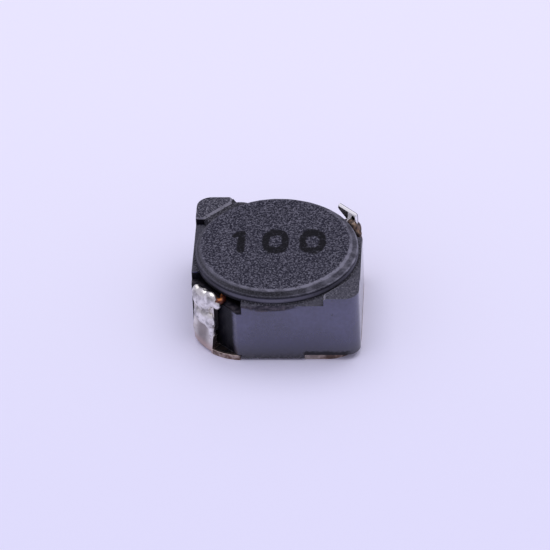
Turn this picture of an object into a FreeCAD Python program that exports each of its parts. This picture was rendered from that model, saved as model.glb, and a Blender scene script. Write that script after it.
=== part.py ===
"""Shielded surface-mount power inductor, 5.7 mm square.

A ferrite drum core carries a coil of enamelled wire and sits, by its top flange, on a seat inside a
square ferrite ring, the magnetic shield. Two corners of the ring are rounded posts. The other two
are clipped and lower, which leaves a slot where a wire end comes out. It is soldered there to the
ear of a tinned copper terminal, whose flat plate is bonded into the underside of the ring.

The origin is the middle of the seating plane, +Z points up, and +X is the right side as seen with
the left terminal's ear in front.
"""
import FreeCAD, Part
import math
import os
import Sketcher

SIZES = [
    ("body_width", 5.7, "outside width and depth of the ring core"),
    ("body_rise", 0.1, "underside of the ring core above the seating plane"),
    ("body_height", 2.51, "ring core, underside to the tops of its corner posts"),
    ("corner_radius", 0.5, "rounded corner of a post"),
    ("clip_round", 0.08, "edges between a clipped corner and the sides"),
    ("clip_clearance", 0.144, "top flange to the face of a clipped corner, in plan"),
    ("post_clearance", 0.184, "glue gap to a post's inner face, in plan"),
    ("post_stub", 0.3, "straight end of a post's inner face"),
    ("post_bevel", 0.04, "bevel along a post's inner top edge"),
    ("ledge_drop", 0.3, "ledge between the posts, below the post tops"),
    ("notch_drop", 0.61, "wall at a clipped corner, below the post tops"),
    ("notch_front", 0.15, "low wall at the front left, past the clip along the front"),
    ("notch_side", 0.3, "low wall at the front left, past the clip along the left side"),
    ("flange_wall", 0.095, "top flange to the outer side of the ring core"),
    ("flange_gap", 0.045, "glue gap round the top flange"),
    ("seat_width", 0.355, "seat of the top flange, from its edge to the bore"),
    ("flange_edge", 0.36, "edge of the top flange, from its seat up"),
    ("rim_width", 0.325, "falling rim round the ground flat"),
    ("rim_fall", 0.04, "fall of the rim from the flat to its edge"),
    ("rim_round", 0.04, "rounding of the rim's outer edge"),
    ("seat_depth", 0.06, "seat of the top flange below the ledge"),
    ("lower_gap", 0.1, "magnetic gap round the lower flange"),
    ("lower_thickness", 0.42, "lower flange of the drum core"),
    ("foot_gap", 0.05, "lower flange above the terminal plates"),
    ("wire_diameter", 0.22, "enamelled winding wire"),
    ("wire_gap", 0.02, "wire to flange and to winding post"),
    ("sheet_thickness", 0.2, "terminal sheet"),
    ("film_thickness", 0.03, "epoxy film over a terminal plate"),
    ("plate_front", 1.19, "left plate's inner edge from the middle, at the front"),
    ("plate_back", 0.97, "left plate's inner edge from the middle, at the back"),
    ("foot_reach", 0.407, "plate's round corner, out past the clipped corner"),
    ("plate_radius", 1.1, "plate's round corner at the post"),
    ("plate_setback", 0.06, "plate's end, in from the face of the ring core"),
    ("ear_start", 0.35, "ear's outer edge, from the end of the clip"),
    ("ear_width", 0.94, "ear, along the clipped corner"),
    ("ear_reach", 0.33, "outside of the ear's bend, out from the clip"),
    ("ear_bend", 0.3, "outside radius of the ear's bend"),
    ("ear_straight", 0.6, "height where the ear starts to lean in"),
    ("ear_lean", 0.85, "where the ear meets the wall, below the low wall's top"),
    ("ear_drop", 0.05, "top of the ear, below the low wall's top"),
    ("bite_radius", 0.1, "relief cut in the ear's inner edge"),
    ("bite_height", 0.78, "height of that relief"),
    ("prong_start", 0.38, "standing prong's outer edge, from the end of the clip"),
    ("prong_width", 0.87, "standing prong, along the clipped corner"),
    ("prong_rise", 0.19, "top of the standing prong, above the posts"),
    ("prong_thickness", 0.11, "sheet of the standing prong, coined thin"),
    ("prong_gap", 0.03, "standing prong, out from the ear's inner face"),
    ("prong_stem", 0.36, "stem that the prong's slanting edge comes down to"),
    ("prong_neck", 0.4, "top of that stem, below the prong's top"),
    ("window_border", 0.06, "strip beside the wire window in the prong"),
    ("window_width", 0.17, "wire window in the prong"),
    ("window_height", 0.25, "height of that window"),
    ("window_drop", 0.1, "top of that window, below the prong's top"),
    ("left_lead_bearing", 270.0, "direction of the left lead, degrees from +X"),
    ("right_lead_bearing", -10.2, "direction of the right lead, degrees from +X"),
    ("glue_rise", 0.11, "glue wedge beside the back post, above the ledge"),
    ("glue_end", 0.95, "end of that wedge, from the middle"),
    ("chip_width", 0.95, "broken stretch of the thin front wall"),
    ("chip_depth", 0.2, "broken stretch, below the ledge"),
]
WIRE_LAYERS = 3
SQUARE = math.sqrt(0.5)
ROOT_TWO = math.sqrt(2.0)
OVERCUT = 0.5
ACROSS_CLIP = 225
FACING_CLIP = -45
LUMP_RINGS = 8
LUMP_FACETS = 16

# The leads: bend radius in wire radii, then places in wire diameters out from a clipped corner or in
# from the side face, and for the left one its end along the corner and its drop there, as lengths.
LEAD_BEND = 1.6
LEFT_TURN_OUT = 0.4
LEFT_END_OUT = 0.8
LEFT_END_ALONG = 1.1
LEFT_END_DROP = 0.03
RIGHT_TURN_IN = 0.68
RIGHT_END_IN = 0.26

# The broken stretch of the front wall, as shares of its width from the middle and of its depth.
CHIP_OUTLINE = [(-0.62, 0.2), (-0.43, 0.95), (0.08, 1.0), (0.3, 0.8), (0.38, 0.1)]

# Each lump of solder: its middle along the clip, out from it and up from the low wall's top, then
# its half sizes in the same order.
LEFT_SOLDER = [
    ((0.80, 0.16, -0.08), (0.50, 0.26, 0.42)),
    ((0.47, 0.16, 0.02), (0.17, 0.20, 0.28)),
    ((1.12, 0.14, -0.02), (0.30, 0.20, 0.26)),
    ((0.86, 0.22, -0.72), (0.48, 0.22, 0.32)),
    ((1.12, 0.24, -0.84), (0.22, 0.17, 0.28)),
    ((1.21, 0.24, -1.16), (0.11, 0.14, 0.26)),
    ((1.45, 0.12, 0.02), (0.16, 0.14, 0.15)),
]
RIGHT_SOLDER = [
    ((0.76, 0.16, -0.12), (0.50, 0.22, 0.40)),
    ((0.84, 0.20, -0.66), (0.44, 0.20, 0.28)),
    ((0.47, 0.12, 0.10), (0.18, 0.16, 0.26)),
    ((0.56, 0.00, 0.34), (0.14, 0.10, 0.14)),
]


class Size:
    """A length as a number and as the expression that ties it to the sheet."""

    def __init__(self, value, text):
        self.value = value
        self.text = text

    def _join(self, other, sign, value):
        text = other.text if isinstance(other, Size) else repr(other)
        return Size(value, "(" + self.text + " " + sign + " " + text + ")")

    def __add__(self, other):
        return self._join(other, "+", self.value + number(other))

    def __sub__(self, other):
        return self._join(other, "-", self.value - number(other))

    def __mul__(self, other):
        return self._join(other, "*", self.value * number(other))

    def __truediv__(self, other):
        return self._join(other, "/", self.value / number(other))

    def __neg__(self):
        return Size(-self.value, "(0 - " + self.text + ")")


def number(item):
    """Return a size's value, or the plain number itself."""
    return item.value if isinstance(item, Size) else float(item)


doc = FreeCAD.newDocument("ShieldedInductor")
sheet = doc.addObject("Spreadsheet::Sheet", "Sizes")
for row, (alias, value, meaning) in enumerate(SIZES, start=1):
    sheet.set("A" + str(row), meaning)
    sheet.set("B" + str(row), str(value))
    sheet.setAlias("B" + str(row), alias)
doc.recompute()
size = {alias: Size(value, "Sizes." + alias) for alias, value, _ in SIZES}

half = size["body_width"] / 2
rise = size["body_rise"]
post_top = rise + size["body_height"]
ledge = post_top - size["ledge_drop"]
seat = ledge - size["seat_depth"]
notch_floor = post_top - size["notch_drop"]
flange_edge_top = seat + size["flange_edge"]
flat_top = flange_edge_top + size["rim_fall"]
lower_bottom = size["sheet_thickness"] + size["foot_gap"]
lower_top = lower_bottom + size["lower_thickness"]
recess_top = size["sheet_thickness"] + size["film_thickness"]
prong_top = post_top + size["prong_rise"]
ear_top = notch_floor - size["ear_drop"]

flange_radius = half - size["flange_wall"]
seat_radius = flange_radius + size["flange_gap"]
bore_radius = flange_radius - size["seat_width"]
waist_radius = bore_radius / 2
clip_distance = flange_radius + size["clip_clearance"]
clip_leg = size["body_width"] - clip_distance * ROOT_TWO
clip_middle = clip_leg * SQUARE
post_near = half - size["post_stub"]
post_far = (seat_radius + size["post_clearance"]) * ROOT_TWO - post_near
notch_x = half - clip_leg - size["notch_front"]
notch_y = half - clip_leg - size["notch_side"]
foot_radius = (half * ROOT_TWO - clip_distance - size["foot_reach"]) / (ROOT_TWO - 1)


def turned(point):
    """Return a plan point turned half a turn about the middle."""
    return (-point[0], -point[1]) + tuple(point[2:])


def bind(obj, prop, item):
    """Tie a property to the sheet, or set it where it is a plain number."""
    if isinstance(item, Size):
        obj.setExpression(prop, item.text)
    else:
        setattr(obj, prop, item)


def new_body(name):
    body = doc.addObject("PartDesign::Body", name)
    body.Label = name
    return body


def origin_plane(body, role):
    return [item for item in body.Origin.OriginFeatures if item.Role == role][0]


def new_sketch(body, name, role, height=None, turn=0):
    """Attach a sketch to one of the body's planes, turned about the plane's Y and then moved off it."""
    sketch = body.newObject("Sketcher::SketchObject", name)
    sketch.AttachmentSupport = [(origin_plane(body, role), "")]
    sketch.MapMode = "FlatFace"
    spin = FreeCAD.Rotation(FreeCAD.Vector(0, 1, 0), turn)
    sketch.AttachmentOffset = FreeCAD.Placement(FreeCAD.Vector(0, 0, 0), spin)
    if height is not None:
        sketch.setExpression("AttachmentOffset.Base.z", (height * math.cos(math.radians(turn))).text)
    if turn:
        sketch.setExpression("AttachmentOffset.Base.x", (height * math.sin(math.radians(turn))).text)
    return sketch


def place_point(sketch, edge, end, point):
    """Hold one end of an edge at a point given as two sizes."""
    for kind, axis, item in (("DistanceX", -2, point[0]), ("DistanceY", -1, point[1])):
        if number(item) == 0.0:
            sketch.addConstraint(Sketcher.Constraint("PointOnObject", edge, end, axis))
        else:
            rule = Sketcher.Constraint(kind, -1, 1, edge, end, number(item))
            place = sketch.addConstraint(rule)
            if isinstance(item, Size):
                sketch.setExpression("Constraints[" + str(place) + "]", item.text)


def arc_between(start, end, radius):
    """Return the short arc between two points; a positive radius turns left."""
    middle = (start + end) * 0.5
    chord = end - start
    side = FreeCAD.Vector(-chord.y, chord.x, 0).normalize()
    rise_to_centre = math.sqrt(max(radius ** 2 - (chord.Length / 2) ** 2, 0.0))
    centre = middle + side * math.copysign(rise_to_centre, radius)
    circle = Part.Circle(centre, FreeCAD.Vector(0, 0, 1), abs(radius))
    first, last = (start, end) if radius > 0 else (end, start)
    begin = math.atan2(first.y - centre.y, first.x - centre.x)
    finish = math.atan2(last.y - centre.y, last.x - centre.x)
    return Part.ArcOfCircle(circle, begin, finish)


def add_loop(sketch, points):
    """Draw a closed outline; a point's third item is the signed radius of the arc to the next."""
    count = len(points)
    spots = [FreeCAD.Vector(number(p[0]), number(p[1]), 0) for p in points]
    edges = []
    for i, point in enumerate(points):
        after = spots[(i + 1) % count]
        radius = point[2] if len(point) > 2 else None
        if radius is None:
            edges.append((sketch.addGeometry(Part.LineSegment(spots[i], after), False), 1, 2))
        else:
            arc = sketch.addGeometry(arc_between(spots[i], after, number(radius)), False)
            ends = (1, 2) if number(radius) > 0 else (2, 1)
            edges.append((arc, ends[0], ends[1]))
    for i, point in enumerate(points):
        edge, first, last = edges[i]
        after, its_first, _ = edges[(i + 1) % count]
        sketch.addConstraint(Sketcher.Constraint("Coincident", edge, last, after, its_first))
        place_point(sketch, edge, first, point)
        if len(point) > 2:
            place = sketch.addConstraint(Sketcher.Constraint("Radius", edge, abs(number(point[2]))))
            text = point[2].text if number(point[2]) > 0 else (-point[2]).text
            sketch.setExpression("Constraints[" + str(place) + "]", text)


def add_circle(sketch, radius):
    circle = sketch.addGeometry(Part.Circle(FreeCAD.Vector(0, 0, 0), FreeCAD.Vector(0, 0, 1), radius.value))
    sketch.addConstraint(Sketcher.Constraint("Coincident", circle, 3, -1, 1))
    place = sketch.addConstraint(Sketcher.Constraint("Radius", circle, radius.value))
    sketch.setExpression("Constraints[" + str(place) + "]", radius.text)


def pad(body, sketch, name, length):
    feature = body.newObject("PartDesign::Pad", name)
    feature.Profile = sketch
    bind(feature, "Length", length)
    sketch.Visibility = False
    doc.recompute()
    return feature


def pocket(body, sketch, name, length, upward=False):
    """Cut a sketch down into the body, or up into it, and check that it took something away."""
    before = body.Shape.Volume
    feature = body.newObject("PartDesign::Pocket", name)
    feature.Profile = sketch
    bind(feature, "Length", length)
    feature.Reversed = upward
    sketch.Visibility = False
    doc.recompute()
    if body.Shape.Volume >= before:
        raise RuntimeError(name + " cut nothing")
    return feature


def edges_where(body, test):
    """Name the edges of the body's solid whose middle and ends pass a test."""
    names = []
    for i, edge in enumerate(body.Shape.Edges, start=1):
        middle = edge.valueAt((edge.FirstParameter + edge.LastParameter) / 2)
        if test(edge, middle):
            names.append("Edge" + str(i))
    return names


def dress(body, kind, name, names, prop, amount):
    """Round or bevel the named edges of the body as it stands."""
    base = body.Tip
    feature = body.newObject("PartDesign::" + kind, name)
    feature.Base = (base, names)
    bind(feature, prop, amount)
    doc.recompute()
    return feature


def build_drum_core():
    """Turn the drum core: a thick top flange with a falling rim, the winding post and a lower flange."""
    body = new_body("drum_core")
    profile = new_sketch(body, "drum_profile", "XZ_Plane")
    lower_radius = bore_radius - size["lower_gap"]
    rounding = size["rim_round"]
    add_loop(profile, [
        (0, lower_bottom), (lower_radius, lower_bottom), (lower_radius, lower_top),
        (waist_radius, lower_top), (waist_radius, seat), (flange_radius, seat),
        (flange_radius, flange_edge_top - rounding, rounding),
        (flange_radius - rounding, flange_edge_top),
        (flange_radius - size["rim_width"], flat_top), (0, flat_top)])
    turn = body.newObject("PartDesign::Revolution", "drum_turned")
    turn.Profile = profile
    turn.ReferenceAxis = (profile, ["V_Axis"])
    turn.Angle = 360
    doc.recompute()
    return body


def plate_outline():
    """Outline of the left terminal's plate in plan: a large round at each outer corner."""
    corner = size["plate_radius"]
    centre = half - foot_radius
    beside = size["plate_front"] - centre
    rounded = Size(math.sqrt(foot_radius.value ** 2 - beside.value ** 2),
                   "sqrt((" + foot_radius.text + ")^2 - (" + beside.text + ")^2)")
    end = half - size["plate_setback"]
    return [
        (-size["plate_front"], -centre - rounded), (-size["plate_back"], end),
        (-half + corner, end, corner), (-half, end - corner), (-half, -centre, foot_radius)]


def build_shield_core():
    """Press the ring core: a square with two post corners, two clipped corners and a stepped bore."""
    body = new_body("shield_core")
    corner = size["corner_radius"]
    outline = new_sketch(body, "shield_outline", "XY_Plane", rise)
    side = [
        (-half + clip_leg, -half), (half - corner, -half, corner), (half, -half + corner),
        (half, half - clip_leg)]
    add_loop(outline, side + [turned(point) for point in side])
    pad(body, outline, "shield_blank", size["body_height"])

    bore = new_sketch(body, "bore_outline", "XY_Plane", post_top)
    add_circle(bore, bore_radius)
    pocket(body, bore, "bore", size["body_height"] + OVERCUT)

    beyond = half + OVERCUT
    ledge_outline = new_sketch(body, "ledge_outline", "XY_Plane", post_top)
    post_side = [
        (-post_far, beyond), (beyond, beyond), (beyond, -post_far), (post_near, -post_far),
        (post_far, -post_near)]
    add_loop(ledge_outline, post_side + [turned(point) for point in post_side])
    pocket(body, ledge_outline, "ledge_cut", size["ledge_drop"])

    seat_outline = new_sketch(body, "seat_outline", "XY_Plane", post_top)
    add_circle(seat_outline, seat_radius)
    pocket(body, seat_outline, "flange_seat", size["ledge_drop"] + size["seat_depth"])

    notch_outline = new_sketch(body, "notch_outline", "XY_Plane", post_top)
    notch = [(-beyond, -beyond), (-notch_x, -beyond), (-notch_x, -notch_y), (-beyond, -notch_y)]
    add_loop(notch_outline, notch)
    add_loop(notch_outline, [turned(point) for point in notch])
    pocket(body, notch_outline, "wire_notches", size["notch_drop"])

    recess = new_sketch(body, "recess_outline", "XY_Plane", rise)
    inner_front = size["plate_front"] - size["film_thickness"]
    inner_back = size["plate_back"] - size["film_thickness"]
    side = [(-inner_front, -beyond), (-inner_back, beyond), (-beyond, beyond), (-beyond, -beyond)]
    add_loop(recess, side)
    add_loop(recess, [turned(point) for point in side])
    pocket(body, recess, "plate_recesses", recess_top - rise, upward=True)

    chip = new_sketch(body, "chip_outline", "XZ_Plane", half - OVERCUT)
    edge = [(size["chip_width"] * across, ledge - size["chip_depth"] * down)
            for across, down in CHIP_OUTLINE]
    add_loop(chip, [(edge[0][0], ledge + OVERCUT)] + edge + [(edge[-1][0], ledge + OVERCUT)])
    chip.setExpression("AttachmentOffset.Base.z", (half - size["flange_gap"] * 2).text)
    pocket(body, chip, "front_chip", OVERCUT, upward=True)

    dress(body, "Fillet", "clip_rounding", edges_where(body, is_clip_edge), "Radius", size["clip_round"])
    inner = edges_where(body, is_post_inner_edge)
    dress(body, "Chamfer", "post_bevels", inner, "Size", size["post_bevel"])
    return body


def is_clip_edge(edge, middle):
    """An upright edge where a clipped corner meets a side of the ring core."""
    start, end = edge.Vertexes[0].Point, edge.Vertexes[-1].Point
    upright = abs(start.x - end.x) < 1e-6 and abs(start.y - end.y) < 1e-6
    near, far = sorted((abs(middle.x), abs(middle.y)))
    at_corner = abs(far - half.value) < 1e-6 and abs(near - (half - clip_leg).value) < 1e-6
    return upright and at_corner and middle.x * middle.y > 0


def is_post_inner_edge(edge, middle):
    """A slanting top edge of a post, on the side that faces the drum core."""
    start, end = edge.Vertexes[0].Point, edge.Vertexes[-1].Point
    level = abs(start.z - post_top.value) < 1e-6 and abs(end.z - post_top.value) < 1e-6
    slanting = abs(start.x - end.x) > 0.1 and abs(start.y - end.y) > 0.1
    return level and slanting and isinstance(edge.Curve, Part.Line)


def build_terminal(name, prong):
    """Stamp and fold a terminal: a plate under the ring core and an ear up its clipped corner."""
    body = new_body(name)
    thick = size["sheet_thickness"]
    plate = new_sketch(body, name + "_plate_outline", "XY_Plane")
    add_loop(plate, plate_outline())
    pad(body, plate, name + "_plate", thick)

    ear_end = size["ear_start"] + size["ear_width"]
    lean = notch_floor - size["ear_lean"]
    ear = new_sketch(body, name + "_ear_profile", "XZ_Plane", clip_middle - ear_end, ACROSS_CLIP)
    outer = clip_distance + size["ear_reach"]
    bend = size["ear_bend"]
    wall_gap = size["film_thickness"]
    root = clip_distance - bend
    add_loop(ear, [
        (root, 0), (outer - bend, 0, bend), (outer, bend), (outer, size["ear_straight"]),
        (clip_distance + wall_gap + thick, lean), (clip_distance + wall_gap + thick, ear_top),
        (clip_distance + wall_gap, ear_top), (clip_distance + wall_gap, lean),
        (outer - thick, size["ear_straight"]), (outer - thick, bend, thick - bend),
        (outer - bend, thick), (root, thick)])
    pad(body, ear, name + "_ear", size["ear_width"])
    bite = new_sketch(body, name + "_bite_outline", "XZ_Plane", outer + OVERCUT, FACING_CLIP)
    radius, level, edge = size["bite_radius"], size["bite_height"], ear_end - clip_middle
    add_loop(bite, [
        (edge, level - radius, -radius), (edge, level + radius),
        (edge + radius, level + radius), (edge + radius, level - radius)])
    pocket(body, bite, name + "_bite", size["ear_reach"] + OVERCUT)
    if prong:
        add_prong(body, name, clip_distance + wall_gap + size["prong_gap"])
        body.Placement = FreeCAD.Placement(
            FreeCAD.Vector(0, 0, 0), FreeCAD.Rotation(FreeCAD.Vector(0, 0, 1), 180))
    return body


def add_prong(body, name, wall):
    """Leave a thin prong standing above the ear, with a small window that the wire goes to."""
    tine = new_sketch(body, name + "_prong_outline", "XZ_Plane", wall, FACING_CLIP)
    left = size["prong_start"] - clip_middle
    right = left + size["prong_width"]
    stem = left + size["prong_stem"]
    top, thin = prong_top, size["prong_thickness"]
    add_loop(tine, [
        (left, ear_top - thin), (stem, ear_top - thin), (stem, top - size["prong_neck"]),
        (right, top - thin, thin), (right - thin, top), (left + thin, top, thin), (left, top - thin)])
    pad(body, tine, name + "_prong", thin)
    window = new_sketch(body, name + "_window_outline", "XZ_Plane", wall + OVERCUT, FACING_CLIP)
    near, high = left + size["window_border"], top - size["window_drop"]
    far, low = near + size["window_width"], high - size["window_height"]
    add_loop(window, [(near, low), (far, low), (far, high), (near, high)])
    pocket(body, window, name + "_window", thin + OVERCUT)


def plan_point(along, outward, height, side):
    """Return a point given along a clipped corner from its end, out from it, and up.

    side is -1 for the front left corner and 1 for the back right one.
    """
    spot_x = half.value - (along - outward) * SQUARE
    spot_y = half.value - clip_leg.value + (along + outward) * SQUARE
    return FreeCAD.Vector(side * spot_x, side * spot_y, height)


def rounded_path(points, radius):
    """Join points by straight runs with a tangent arc at each turn."""
    edges = []
    start = points[0]
    for before, corner, after in zip(points, points[1:], points[2:]):
        into = (corner - before).normalize()
        out = (after - corner).normalize()
        turn = into.getAngle(out)
        cut = radius * math.tan(turn / 2)
        first, last = corner - into * cut, corner + out * cut
        bisector = (out - into).normalize()
        reach = math.hypot(radius, cut) - radius
        edges.append(Part.LineSegment(start, first).toShape())
        edges.append(Part.Arc(first, corner + bisector * reach, last).toShape())
        start = last
    edges.append(Part.LineSegment(start, points[-1]).toShape())
    return Part.Wire(edges)


def lead(points):
    """Sweep the wire's round section along a rounded path."""
    radius = size["wire_diameter"].value / 2
    path = rounded_path(points, radius * LEAD_BEND)
    heading = (points[1] - points[0]).normalize()
    section = Part.Wire([Part.Circle(points[0], heading, radius).toShape()])
    swept = path.makePipeShell([section], True, True)
    print("lead", round(path.Length, 3), "volume", round(swept.Volume, 4),
          "of", round(math.pi * radius ** 2 * path.Length, 4))
    return swept


def coil_profile():
    """Half section of the coil: straight inside, one bulge for each outer turn."""
    diameter = size["wire_diameter"].value
    radius = diameter / 2
    gap = size["wire_gap"].value
    low, high = lower_top.value + gap, seat.value - gap
    turns = int((high - low) / diameter)
    inner = waist_radius.value + gap
    crest = inner + diameter + (WIRE_LAYERS - 1) * diameter * math.cos(math.radians(30))
    valley = crest - radius
    base = high - turns * diameter
    edges = []
    for i in range(turns):
        z_low = base + i * diameter
        ends = FreeCAD.Vector(valley, 0, z_low), FreeCAD.Vector(valley, 0, z_low + diameter)
        edges.append(Part.Arc(ends[0], FreeCAD.Vector(crest, 0, z_low + radius), ends[1]).toShape())
    corners = [(valley, high), (inner, high), (inner, base), (valley, base)]
    for (x_a, z_a), (x_b, z_b) in zip(corners, corners[1:]):
        edges.append(Part.LineSegment(FreeCAD.Vector(x_a, 0, z_a), FreeCAD.Vector(x_b, 0, z_b)).toShape())
    return Part.Wire(Part.__sortEdges__(edges)), valley, high - radius


def lead_start(bearing, valley, height, spin):
    """Where a lead leaves the coil at a tangent, and its direction there."""
    heading = math.radians(bearing)
    forward = FreeCAD.Vector(math.cos(heading), math.sin(heading), 0)
    start = FreeCAD.Vector(forward.y * spin, -forward.x * spin, 0) * valley
    start.z = height
    return start, forward


def left_route(valley, height):
    """Off the coil at a tangent, over the low wall, then along it into the solder."""
    start, forward = lead_start(size["left_lead_bearing"].value, valley, height, 1)
    outward = FreeCAD.Vector(-SQUARE, -SQUARE, 0)
    diameter = size["wire_diameter"].value
    beyond = clip_distance.value + diameter * LEFT_TURN_OUT
    corner = start + forward * ((beyond - start.dot(outward)) / forward.dot(outward))
    end = plan_point(LEFT_END_ALONG, diameter * LEFT_END_OUT, height - LEFT_END_DROP, -1)
    return [start, corner, end]


def right_route(valley, height):
    """Off the coil at a tangent, out through the slot, then up along the clip to the prong."""
    start, forward = lead_start(size["right_lead_bearing"].value, valley, height, -1)
    diameter = size["wire_diameter"].value
    corner = start + forward * ((half.value - diameter * RIGHT_TURN_IN - start.x) / forward.x)
    near = size["prong_start"].value + size["window_border"].value
    low = prong_top.value - size["window_height"].value - size["window_border"].value
    end = plan_point(near, -diameter * RIGHT_END_IN, low, 1)
    return [start, corner, end]


def build_winding():
    """Wind the coil and lead its two ends out over the low walls to the ears."""
    profile, valley, height = coil_profile()
    coil = Part.Face(profile).revolve(FreeCAD.Vector(0, 0, 0), FreeCAD.Vector(0, 0, 1), 360)
    left = lead(left_route(valley, height))
    right = lead(right_route(valley, height))
    winding = doc.addObject("Part::Feature", "winding")
    winding.Shape = coil.fuse([left, right]).removeSplitter()
    winding.Label = "winding"
    return winding


def solder_lump(middle, half_sizes, side):
    """Return one lump of solder on the ear at a clipped corner: an ellipsoid with flat facets."""
    level = notch_floor.value + middle[2]
    centre = plan_point(middle[0], middle[1], level, side)
    along = (plan_point(middle[0] + 1, middle[1], level, side) - centre) * half_sizes[0]
    outward = (plan_point(middle[0], middle[1] + 1, level, side) - centre) * half_sizes[1]
    up = FreeCAD.Vector(0, 0, half_sizes[2])

    def ring_point(ring, facet):
        slope, turn = math.pi * ring / LUMP_RINGS, 2 * math.pi * facet / LUMP_FACETS
        flat = along * math.cos(turn) + outward * math.sin(turn)
        return centre + flat * math.sin(slope) + up * math.cos(slope)

    faces = []
    for ring in range(LUMP_RINGS):
        for facet in range(LUMP_FACETS):
            corners = [ring_point(ring + 1, facet), ring_point(ring + 1, facet + 1)]
            if ring < LUMP_RINGS - 1:
                upper = [ring_point(ring, facet + 1), ring_point(ring, facet)]
                corners = corners + (upper if ring else upper[:1])
            else:
                corners = [ring_point(ring, facet + 1), ring_point(ring, facet), corners[0]]
            faces.append(Part.Face(Part.makePolygon(corners + corners[:1])))
    lump = Part.makeSolid(Part.makeShell(faces))
    return lump if lump.Volume > 0 else lump.reversed()


def build_solder(name, side, lumps, touched):
    """Join the lumps over an ear and its wire end, and trim them to what they wet."""
    first, *others = [solder_lump(middle, half_sizes, side) for middle, half_sizes in lumps]
    blob = first.fuse(others).cut([piece.Shape for piece in touched])
    solder = doc.addObject("Part::Feature", name)
    solder.Shape = max(blob.Solids, key=lambda solid: solid.Volume)
    solder.Label = name
    return solder


def build_glue(name, side, wedge):
    """Glue between the top flange and its seat, on one side of the two slots."""
    body = new_body(name)
    disc = new_sketch(body, name + "_outline", "XY_Plane", seat)
    add_circle(disc, seat_radius)
    pad(body, disc, name + "_disc", size["seat_depth"])
    if wedge:
        heap = new_sketch(body, name + "_wedge_outline", "XY_Plane", ledge)
        end, back = size["glue_end"], half - size["glue_rise"] / 2
        inner = flange_radius * SQUARE - size["flange_gap"] * 2
        along = size["seat_width"]
        add_loop(heap, [
            (-end, back), (-post_far, back), (-post_far, post_near),
            (-post_near + along, post_far + along), (-inner, inner), (-end, inner + along)])
        pad(body, heap, name + "_wedge", size["glue_rise"])
    beyond = half + OVERCUT
    other_half = new_sketch(body, name + "_side_outline", "XY_Plane", post_top)
    add_loop(other_half, [
        (notch_x * side, notch_y * side), (notch_x * side, beyond * side),
        (beyond * side, beyond * side), (beyond * side, beyond * -side),
        (beyond * -side, beyond * -side), (beyond * -side, notch_y * -side),
        (notch_x * -side, notch_y * -side)])
    pocket(body, other_half, name + "_side", size["body_height"])
    bore = new_sketch(body, name + "_bore_outline", "XY_Plane", post_top)
    add_circle(bore, flange_radius)
    pocket(body, bore, name + "_bore", size["body_height"])
    return body


def build_film(name, terminal, shield):
    """Epoxy between a terminal plate and the floor of its recess."""
    thick = size["film_thickness"].value
    level = size["sheet_thickness"].value
    upper = [face for face in terminal.Shape.Faces if abs(face.CenterOfMass.z - level) < 1e-6]
    top_face = max(upper, key=lambda face: face.Area)
    slab = top_face.extrude(FreeCAD.Vector(0, 0, thick))
    reach = half.value
    footprint = Part.makeBox(2 * reach, 2 * reach, thick, FreeCAD.Vector(-reach, -reach, level))
    below = shield.Shape.copy()
    below.translate(FreeCAD.Vector(0, 0, -thick))
    film = doc.addObject("Part::Feature", name)
    solids = slab.common(footprint).common(below).Solids
    film.Shape = sorted(solids, key=lambda solid: solid.Volume)[-1]
    film.Label = name
    return film


drum_core = build_drum_core()
shield_core = build_shield_core()
terminal_left = build_terminal("terminal_left", False)
terminal_right = build_terminal("terminal_right", True)
doc.recompute()
winding = build_winding()
glue_back = build_glue("flange_glue_back", 1, True)
glue_front = build_glue("flange_glue_front", -1, False)
solder_left = build_solder("solder_left", -1, LEFT_SOLDER, [terminal_left, winding, shield_core])
solder_right = build_solder("solder_right", 1, RIGHT_SOLDER, [terminal_right, winding, shield_core])
film_left = build_film("bond_film_left", terminal_left, shield_core)
film_right = build_film("bond_film_right", terminal_right, shield_core)
doc.recompute()

for item in doc.Objects:
    if "Invalid" in item.State or "Error" in item.State:
        raise RuntimeError(item.Name + " failed: " + ", ".join(item.State))

nodes = [drum_core, shield_core, winding, terminal_left, terminal_right,
         solder_left, solder_right, glue_back, glue_front, film_left, film_right]
for node in nodes:
    if node.Shape.isNull() or not node.Shape.isValid():
        raise RuntimeError(node.Label + " has no valid shape")

os.makedirs("parts", exist_ok=True)
for node in nodes:
    node.Shape.exportStep(os.path.join("parts", node.Label + ".step"))
    box = node.Shape.BoundBox
    print(node.Label, len(node.Shape.Solids), "solid(s)", round(node.Shape.Volume, 4), "mm3",
          [round(v, 3) for v in (box.XMin, box.YMin, box.ZMin, box.XMax, box.YMax, box.ZMax)])
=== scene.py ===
"""Looks of a shielded surface-mount power inductor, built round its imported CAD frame.

Shapes are worked out in millimetres as whole numpy arrays and put into metres at the end. Each piece
is a profile or an outline carried along a path, cut and joined where the real one is, and painted
with a procedural material on Object coordinates.
"""
import math

import bpy
import bmesh
import numpy as np
from mathutils import Matrix


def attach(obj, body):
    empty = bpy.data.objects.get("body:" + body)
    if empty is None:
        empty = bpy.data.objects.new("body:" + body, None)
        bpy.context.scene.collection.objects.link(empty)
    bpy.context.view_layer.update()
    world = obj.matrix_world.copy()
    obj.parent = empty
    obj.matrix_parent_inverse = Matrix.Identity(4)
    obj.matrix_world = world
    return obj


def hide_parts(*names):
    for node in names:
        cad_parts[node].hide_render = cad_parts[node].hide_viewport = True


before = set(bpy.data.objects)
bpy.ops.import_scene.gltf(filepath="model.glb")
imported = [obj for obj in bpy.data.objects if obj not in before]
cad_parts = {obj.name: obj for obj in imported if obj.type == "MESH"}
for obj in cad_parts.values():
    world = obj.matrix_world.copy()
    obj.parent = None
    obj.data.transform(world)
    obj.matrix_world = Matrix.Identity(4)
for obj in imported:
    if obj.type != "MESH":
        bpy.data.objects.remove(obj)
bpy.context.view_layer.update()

# Sizes in millimetres, as in the part's source or worked out from it.
HALF = 2.85
CLIP_LEG = 1.60
RISE = 0.1
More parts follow.
